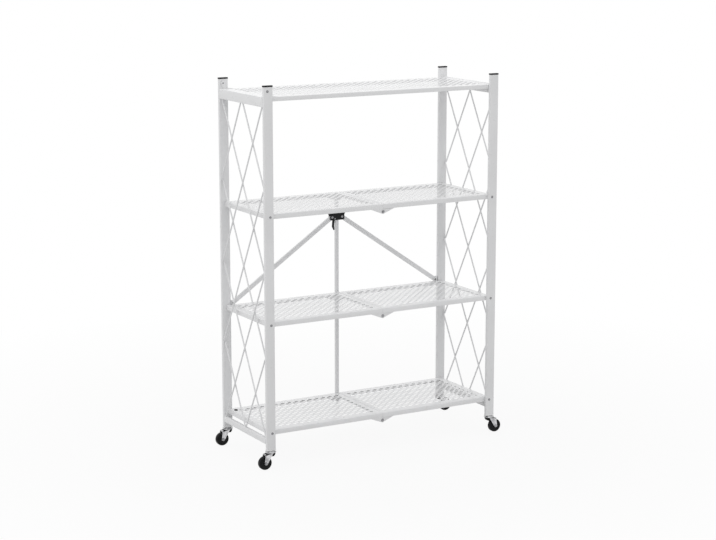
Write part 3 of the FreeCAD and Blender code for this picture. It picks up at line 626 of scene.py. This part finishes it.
def punched_flat(bm, across, along, top):
    """A flat sheet on crossing lines.  Its outer cells are whole, and every
    second crossing within is the middle of a diamond hole.  Gives back its
    vertices by place."""
    spots = {}

    def spot(x, y):
        key = (round(x, 6), round(y, 6))
        if key not in spots:
            spots[key] = bm.verts.new((x, y, top))
        return spots[key]

    def hole_corner(middle, towards):
        """The corner of the hole on the way from its middle to a neighbour."""
        way = (towards - middle) / (PITCH / 2)
        return middle + Vector((round(way.x) * HOLE_WIDTH / 2, round(way.y) * HOLE_DEPTH / 2))

    last_column, last_row = len(across) - 2, len(along) - 2
    for column in range(last_column + 1):
        for row in range(last_row + 1):
            crossings = [(column, row), (column + 1, row), (column + 1, row + 1), (column, row + 1)]
            places = [Vector((across[index], along[other])) for index, other in crossings]
            if column in (0, last_column) or row in (0, last_row):
                bm.faces.new([spot(*place) for place in places])
                continue
            for turn, (index, other) in enumerate(crossings):
                if (index + other) % 2:
                    continue
                middle, after, before = places[turn], places[(turn + 1) % 4], places[turn - 1]
                outline = [middle, after, before]
                if 1 < index < last_column and 1 < other < last_row:
                    outline = [hole_corner(middle, after), after, before,
                               hole_corner(middle, before)]
                bm.faces.new([spot(*place) for place in outline])
    return spots


def folded_sheet(bm, left, right, top, rail, first, columns):
    """The skin of a shelf: a punched flat, and a bend and a rail turned down
    from it all round."""
    across = [left + BEND] + half_pitches(first, columns) + [right - BEND]
    along = [BEND - HALF_DEPTH] + half_pitches((1 - ROWS) * PITCH / 2, ROWS) + [HALF_DEPTH - BEND]
    spots = punched_flat(bm, across, along, top)
    edge = ([(x, along[0]) for x in across[:-1]] + [(across[-1], y) for y in along[:-1]]
            + [(x, along[-1]) for x in across[:0:-1]] + [(across[0], y) for y in along[:0:-1]])
    ring = [spots[round(x, 6), round(y, 6)] for x, y in edge]
    bend = [(BEND * math.sin(angle), BEND * (1 - math.cos(angle)))
            for angle in (math.radians(30), math.radians(60), math.radians(90))]
    for out, drop in bend + [(BEND, rail)]:
        lower = [bm.verts.new((x + out * ((x == across[-1]) - (x == across[0])),
                               y + out * ((y == along[-1]) - (y == along[0])), top - drop))
                 for x, y in edge]
        for step in range(len(edge)):
            after = (step + 1) % len(edge)
            bm.faces.new([ring[step], ring[after], lower[after], lower[step]])
        ring = lower
    bm.normal_update()
    turn_outwards(bm, Vector(((left + right) / 2, 0, top - rail)))


def build_shelf_half(level, side_name):
    """Half a folding shelf, with the two ears of the middle hinge."""
    node = f"{level}_shelf_{side_name}"
    side = SIDES[side_name]
    low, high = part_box(node)
    outer = low.x if side < 0 else high.x
    seam = side * SEAM
    first = SEAM_COLUMN if side > 0 else -SEAM_COLUMN - (HALF_COLUMNS - 1) * PITCH
    bm = bmesh.new()
    folded_sheet(bm, min(outer, seam), max(outer, seam), high.z, RAIL, first, HALF_COLUMNS)
    piece(f"{node}_deck", bm, "white_paint", [node], edge=DECK_EDGE, segments=1,
          thickness=DECK_SHEET)
    pivot = high.z - RAIL / 2
    foot = -RAIL / 2
    ear = [(-SEAM, foot - 2 * SEAM), (-SEAM, foot), (-EAR_LENGTH, foot)]
    if side > 0:
        root = RAIL / 2 - 2 * SHEET
        ear = [ear[0], (-SEAM, root), (-EAR_LENGTH, root), ear[-1]]
    ear = tab(ear, (0, -HINGE_DROP), EAR_RADIUS)
    face = HALF_DEPTH if side < 0 else HALF_DEPTH - SHEET
    bm = bmesh.new()
    for start in (-face, face - SHEET):
        slab(bm, [ear], SHEET, standing(Vector((0, start, pivot)), -side))
    piece(f"{node}_ears", bm, "white_paint", [node], edge=EAR_EDGE)


def build_hinge_rivet(level):
    """The front rivet through the ears of a shelf's two halves."""
    node = f"{level}_hinge_rivet"
    place = Vector((0, -HALF_DEPTH, centre_of(node).z))
    bm = bmesh.new()
    add_rivet(bm, place, -1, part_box(node)[1].y + HALF_DEPTH)
    piece(f"{node}_head", bm, "bright_zinc", [node])


def build_top_shelf():
    """The top shelf, with lugs at the left that rise to its pivots."""
    node = "top_shelf"
    low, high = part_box(node)
    pivot = Vector((low.x + LUG_RADIUS, 0, high.z - LUG_RADIUS))
    deck = low.z + TOP_RAIL
    half_depth = high.y
    span = (TOP_COLUMNS - 1) * PITCH
    first = (pivot.x + high.x - span) / 2
    bm = bmesh.new()
    folded_sheet(bm, pivot.x, high.x, deck, TOP_RAIL, first, TOP_COLUMNS)
    piece(f"{node}_deck", bm, "white_paint", [node], edge=DECK_EDGE, segments=1,
          thickness=DECK_SHEET)
    drop = deck - pivot.z
    lug = tab([(0, drop), (0, drop - LUG_RADIUS), (LUG_ROOT, drop - LUG_RADIUS), (LUG_ROOT, drop),
               LUG_HOLLOW], (0, 0), LUG_RADIUS)
    bm = bmesh.new()
    for start in (-half_depth, half_depth - SHEET):
        slab(bm, [lug], SHEET, standing(pivot + Vector((0, start, 0))))
    piece(f"{node}_lugs", bm, "white_paint", [node], edge=EAR_EDGE)


def build_bumper():
    """A small rubber button with a dimple in its top."""
    node = "deck_bumper"
    low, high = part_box(node)
    middle = centre_of(node)
    radius, height = (high.x - low.x) / 2, high.z - low.z
    profile = [(0, 0), (radius, 0), (radius, 0.35 * height), (0.9 * radius, 0.8 * height),
               (0.7 * radius, height), (0.3 * radius, height), (0.2 * radius, 0.8 * height),
               (0, 0.75 * height)]
    bm = bmesh.new()
    lathe(bm, profile, Matrix.Translation(Vector((middle.x, middle.y, low.z))))
    piece(f"{node}_button", bm, "bumper_rubber", [node])


# ------------------------------------------------- centre bar and braces

def build_centre_bar():
    """A square tube that ends under the upper deck, so that its open end
    doesn't show through the holes."""
    node = "centre_bar"
    low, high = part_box(node)
    top = min(high.z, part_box("upper_shelf_left")[1].z - BEND)
    bm = bmesh.new()
    slab(bm, tube_section(high.x - low.x, high.y - low.y, BAR_CORNER), top - low.z,
         Matrix.Translation(Vector((0, centre_of(node).y, low.z))))
    piece(f"{node}_tube", bm, "white_paint", [node])


def build_bar_rivets():
    """Shoulder rivets through the bar, with a collar against the rear ears."""
    low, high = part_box("centre_bar")
    bm = bmesh.new()
    for level in LEVELS:
        height = centre_of(f"{level}_hinge_rivet").z
        add_rivet(bm, Vector((0, high.y, height)), 1, high.y - HALF_DEPTH + 2 * SHEET)
        slab(bm, [circle((0, 0), RIVET_HEAD, 32)], low.y - HALF_DEPTH - COLLAR_GAP,
             standing(Vector((0, HALF_DEPTH + COLLAR_GAP, height))))
    piece("bar_rivets_heads", bm, "bright_zinc", ["bar_rivets"])


def build_brace(side_name):
    """A flattened tube with round ends, from its bracket up to the lock."""
    node = f"{side_name}_brace"
    side = SIDES[side_name]
    low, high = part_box(node)
    rivet = centre_of(f"{node}_rivet")
    foot = Vector((rivet.x, low.y, rivet.z))
    head = Vector((side * LOCK_PIVOT.x, low.y, LOCK_PIVOT.z))
    along = head - foot
    turn = Matrix.Rotation(math.atan2(along.z, -side * along.x), 4, "Z")
    bm = bmesh.new()
    slab(bm, [stadium(along.length, BRACE_WIDTH / 2)], high.y - low.y,
         standing(foot, -side) @ turn)
    piece(f"{node}_strut", bm, "white_paint", [node], edge=BRACE_EDGE, segments=4)


# ------------------------------------------------------------------- lock

def build_lock():
    """The black slider on the bar: a front and a back plate, joined at the
    top by a block on each side of the bar."""
    node = "lock_housing"
    low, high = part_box(node)
    web, shoulder, crest = high.x, LOCK_WEB - low.z, high.z - low.z
    foot = LOCK_SKIRT - LOCK_CORNER
    right = [(foot, 0), (LOCK_SKIRT, LOCK_CORNER), (LOCK_SKIRT, shoulder), (web, shoulder),
             (web, crest)]
    plate = [(-foot, 0)] + right + [(-across, up) for across, up in right[:0:-1]]
    bm = bmesh.new()
    for start in (low.y, high.y - LOCK_WALL):
        slab(bm, [plate], LOCK_WALL, standing(Vector((0, start, low.z))))
    block = [(LOCK_SLOT, 0), (web, 0), (web, high.z - LOCK_WEB), (LOCK_SLOT, high.z - LOCK_WEB)]
    for side in SIDES.values():
        slab(bm, [block], high.y - low.y - 2 * LOCK_WALL,
             standing(Vector((0, low.y + LOCK_WALL, LOCK_WEB)), side))
    piece(f"{node}_shell", bm, "black_paint", [node], edge=LOCK_EDGE)


def build_lock_rivets():
    """Where the braces turn on the lock's front plate."""
    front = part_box("lock_housing")[0].y
    bm = bmesh.new()
    for side in SIDES.values():
        place = Vector((side * LOCK_PIVOT.x, front, LOCK_PIVOT.z))
        add_rivet(bm, place, -1, LOCK_WALL, LOCK_CROWN, LOCK_HEAD)
    piece("lock_rivets_heads", bm, "bright_zinc", ["lock_rivets"])


def build_trigger():
    """The release lever, turning on its pin."""
    node = "lock_trigger"
    low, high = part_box(node)
    pin = centre_of("trigger_pin")
    outline = tab([TRIGGER_NECK, TRIGGER_KNEE, TRIGGER_TIP, TRIGGER_TOE, TRIGGER_WAIST,
                   TRIGGER_THROAT], (0, 0), high.z - pin.z)
    bm = bmesh.new()
    slab(bm, [outline], high.y - low.y, standing(Vector((pin.x, low.y, pin.z))))
    piece(f"{node}_lever", bm, "black_paint", [node], edge=TRIGGER_EDGE)


def build_trigger_pin():
    """A turned pin, with its head at the front."""
    node = "trigger_pin"
    low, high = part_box(node)
    middle = centre_of(node)
    head = (high.x - low.x) / 2
    shank, length = 0.5 * head, high.y - low.y
    profile = [(0, 0), (0.8 * head, 0), (head, 0.3 * LOCK_CROWN), (head, LOCK_CROWN),
               (shank, LOCK_CROWN), (shank, length), (0, length)]
    bm = bmesh.new()
    lathe(bm, profile, standing(Vector((middle.x, low.y, middle.z))))
    piece(f"{node}_turned", bm, "bright_zinc", [node])


def build_trigger_spring():
    """The torsion spring, wound round the pin."""
    node = "trigger_spring"
    low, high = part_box(node)
    pin = centre_of("trigger_pin")
    radius = (high.z - low.z) / 2 - SPRING_WIRE
    length = high.y - low.y - 2 * SPRING_WIRE
    path = []
    for step in range(SPRING_TURNS * SPRING_STEPS + 1):
        angle = 2 * math.pi * step / SPRING_STEPS
        share = step / (SPRING_TURNS * SPRING_STEPS)
        path.append(Vector((pin.x + radius * math.cos(angle),
                            low.y + SPRING_WIRE + share * length,
                            pin.z + radius * math.sin(angle))))
    bm = bmesh.new()
    sweep(bm, path, SPRING_WIRE, 8)
    piece(f"{node}_coils", bm, "bright_zinc", [node])


# ---------------------------------------------------------------- casters

def build_caster(side_name, end_name):
    """A caster whose wheel trails outwards from its stem."""
    name = f"{side_name}_{end_name}_caster"
    side = SIDES[side_name]
    post = centre_of(f"{side_name}_{end_name}_post")
    stem = Vector((post.x, post.y, 0))
    axle = stem + Vector((side * TRAIL, 0, WHEEL_RADIUS))
    build_shade_block(name, side, stem)
    build_crown(name, stem)
    build_yoke(name, side, stem)
    build_tyre(name, axle)
    build_bolt(name, axle)


def build_shade_block(name, side, stem):
    """A black block between the fork's legs. It is painted shade: it stands for the shade under the
    hood and on the inside of the far leg.
    """
    bm = bmesh.new()
    slab(bm, [SHADE_BLOCK_OUTLINE], 2 * SHADE_BLOCK_HALF,
         standing(stem + Vector((0, -SHADE_BLOCK_HALF, 0)), -side))
    # black_plastic here gives painted shade inside the fork.
    piece(f"{name}_housing", bm, "black_plastic", [f"{name}_fork"], edge=SHADE_BLOCK_EDGE, segments=3)


def build_crown(name, stem):
    """The turned crown, with the stem that enters the post."""
    bm = bmesh.new()
    lathe(bm, CROWN_PROFILE, Matrix.Translation(stem), 48)
    piece(f"{name}_crown", bm, "bright_chrome", [f"{name}_fork"])


def build_yoke(name, side, stem):
    """The raked fork: two legs down to the axle, under a hood."""
    leg = tab([FORK_FRONT, FORK_BACK], (-TRAIL, WHEEL_RADIUS), FORK_EYE, 20)
    hood = [FORK_FRONT, FORK_BACK,
            (FORK_BACK[0] + HOOD_BACK_INSET, FORK_BACK[1] - HOOD_DROP),
            (FORK_FRONT[0] - HOOD_FRONT_INSET, FORK_FRONT[1] - HOOD_DROP)]
    bm = bmesh.new()
    for start in (-FORK_HALF, FORK_HALF - FORK_WALL):
        slab(bm, [leg], FORK_WALL, standing(stem + Vector((0, start, 0)), -side))
    slab(bm, [hood], 2 * FORK_HALF, standing(stem + Vector((0, -FORK_HALF, 0)), -side))
    piece(f"{name}_yoke", bm, "bright_chrome", [f"{name}_fork"], edge=FORK_EDGE, segments=3)


def build_tyre(name, axle):
    """The wheel, turned from half its profile and that half's mirror."""
    profile = [(radius, -offset) for radius, offset in TYRE_HALF] + TYRE_HALF[::-1]
    bm = bmesh.new()
    ring_lathe(bm, profile, standing(axle), 64)
    piece(f"{name}_tyre", bm, "wheel_black", [f"{name}_wheel"])


def build_bolt(name, axle):
    """The axle bolt, with a six-sided head and nut outside the legs."""
    low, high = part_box(f"{name}_axle")
    nut = circle((0, 0), NUT_SHARE * (high.x - low.x) / 2, 6)
    end, neck = FORK_HALF + NUT_HEIGHT, BOLT_RADIUS - BOLT_CHAMFER
    bm = bmesh.new()
    for start in (-end, FORK_HALF):
        slab(bm, [nut], NUT_HEIGHT - 2 * NUT_GAP,
             standing(Vector((axle.x, axle.y + start + NUT_GAP, axle.z))))
    bolt = [(0, -end), (neck, -end), (BOLT_RADIUS, BOLT_CHAMFER - end),
            (BOLT_RADIUS, end - BOLT_CHAMFER), (neck, end), (0, end)]
    lathe(bm, bolt, standing(axle), 24)
    piece(f"{name}_bolt", bm, "bright_zinc", [f"{name}_axle"], edge=BOLT_EDGE)


# --------------------------------------------------------------- assembly

for side_label in SIDES:
    for end_label in ENDS:
        build_post(side_label, end_label)
        build_caster(side_label, end_label)
    build_cross_bar(f"{side_label}_top_crossbar")
    build_cross_bar(f"{side_label}_foot_crossbar")
    build_lattice(side_label)
    build_plugs(f"{side_label}_post_caps", "black_plastic", CAP_LIP, top=True)
    build_plugs(f"{side_label}_caster_sockets", "white_plastic", SOCKET_LIP, top=False)
    build_shelf_rivets(side_label)
    build_bracket(side_label)
    build_brace_rivet(side_label)
    build_brace(side_label)
    for level_label in LEVELS:
        build_shelf_half(level_label, side_label)
for level_label in LEVELS:
    build_hinge_rivet(level_label)
build_top_shelf()
build_top_rivets()
build_rests()
build_bumper()
build_centre_bar()
build_bar_rivets()
build_lock()
build_lock_rivets()
build_trigger()
build_trigger_pin()
build_trigger_spring()


# ------------------------------------------------------- floor and lights

def build_floor():
    """A floor far wider than the picture."""
    bm = bmesh.new()
    corners = [bm.verts.new((x * FLOOR_REACH, y * FLOOR_REACH, 0))
               for x, y in ((-1, -1), (1, -1), (1, 1), (-1, 1))]
    bm.faces.new(corners)
    mesh = bpy.data.meshes.new("floor")
    bm.to_mesh(mesh)
    bm.free()
    mesh.materials.append(floor_material())
    floor = bpy.data.objects.new("floor", mesh)
    bpy.context.collection.objects.link(floor)


def floor_material():
    """A grey surface that takes the object's soft shadow, under a glow that
    only the camera and reflections see.  The glow makes it almost white near
    the object and plain white further away."""
    material, shader = new_material("pale_floor")
    nodes, links = material.node_tree.nodes, material.node_tree.links
    shader.inputs["Base Color"].default_value = (FLOOR_TONE, FLOOR_TONE, FLOOR_TONE, 1)
    shader.inputs["Roughness"].default_value = 0.9
    where = nodes.new("ShaderNodeTexCoord")
    distance = nodes.new("ShaderNodeVectorMath")
    distance.operation = "LENGTH"
    links.new(where.outputs["Object"], distance.inputs[0])
    rise = nodes.new("ShaderNodeMapRange")
    rise.inputs["From Min"].default_value = NEAR_FLOOR
    rise.inputs["From Max"].default_value = FAR_FLOOR
    rise.inputs["To Min"].default_value = FLOOR_GLOW
    rise.inputs["To Max"].default_value = 1.0
    links.new(distance.outputs["Value"], rise.inputs["Value"])
    share = nodes.new("ShaderNodeMath")
    share.operation = "MULTIPLY"
    links.new(seen_directly(nodes, links), share.inputs[0])
    links.new(rise.outputs["Result"], share.inputs[1])
    glow = nodes.new("ShaderNodeEmission")
    mix = nodes.new("ShaderNodeMixShader")
    links.new(share.outputs["Value"], mix.inputs["Fac"])
    links.new(shader.outputs["BSDF"], mix.inputs[1])
    links.new(glow.outputs["Emission"], mix.inputs[2])
    links.new(mix.outputs["Shader"], nodes["Material Output"].inputs["Surface"])
    return material


def seen_directly(nodes, links):
    """One where the camera, a reflection or a transmission looks."""
    path = nodes.new("ShaderNodeLightPath")
    total = path.outputs["Is Camera Ray"]
    for name in ("Is Glossy Ray", "Is Transmission Ray"):
        either = nodes.new("ShaderNodeMath")
        either.operation = "MAXIMUM"
        links.new(total, either.inputs[0])
        links.new(path.outputs[name], either.inputs[1])
        total = either.outputs["Value"]
    return total


def build_world():
    """A white background over a gentler even light."""
    world = bpy.data.worlds.new("studio")
    world.use_nodes = True
    nodes, links = world.node_tree.nodes, world.node_tree.links
    sky = nodes["Background"]
    white = nodes.new("ShaderNodeBackground")
    for background in (sky, white):
        background.inputs["Color"].default_value = (1, 1, 1, 1)
    sky.inputs["Strength"].default_value = SKY_LIGHT
    mix = nodes.new("ShaderNodeMixShader")
    links.new(seen_directly(nodes, links), mix.inputs["Fac"])
    links.new(sky.outputs["Background"], mix.inputs[1])
    links.new(white.outputs["Background"], mix.inputs[2])
    links.new(mix.outputs["Shader"], nodes["World Output"].inputs["Surface"])
    bpy.context.scene.world = world


def add_softbox(name, place, size, power):
    """A rectangular lamp that faces the middle of the object."""
    lamp = bpy.data.lights.new(name, "AREA")
    lamp.shape = "RECTANGLE"
    lamp.size, lamp.size_y = size
    lamp.energy = power
    obj = bpy.data.objects.new(name, lamp)
    obj.location = place
    obj.rotation_mode = "QUATERNION"
    obj.rotation_quaternion = (Vector(place) - LAMP_TARGET).to_track_quat("Z", "Y")
    bpy.context.collection.objects.link(obj)


def build_camera():
    camera = bpy.data.objects.new("camera", bpy.data.cameras.new("camera"))
    camera.data.lens = LENS
    camera.location = CAMERA_PLACE
    camera.rotation_euler = (math.pi / 2 - ELEVATION, 0, AZIMUTH)
    bpy.context.collection.objects.link(camera)
    bpy.context.scene.camera = camera


build_floor()
build_world()
add_softbox("overhead", place=(-0.6, 0.2, 4.0), size=(4.0, 3.4), power=28)
add_softbox("left_fill", place=(-4.2, -0.2, 2.0), size=(2.2, 2.2), power=8)
build_camera()
bpy.context.scene.view_settings.view_transform = "Standard"
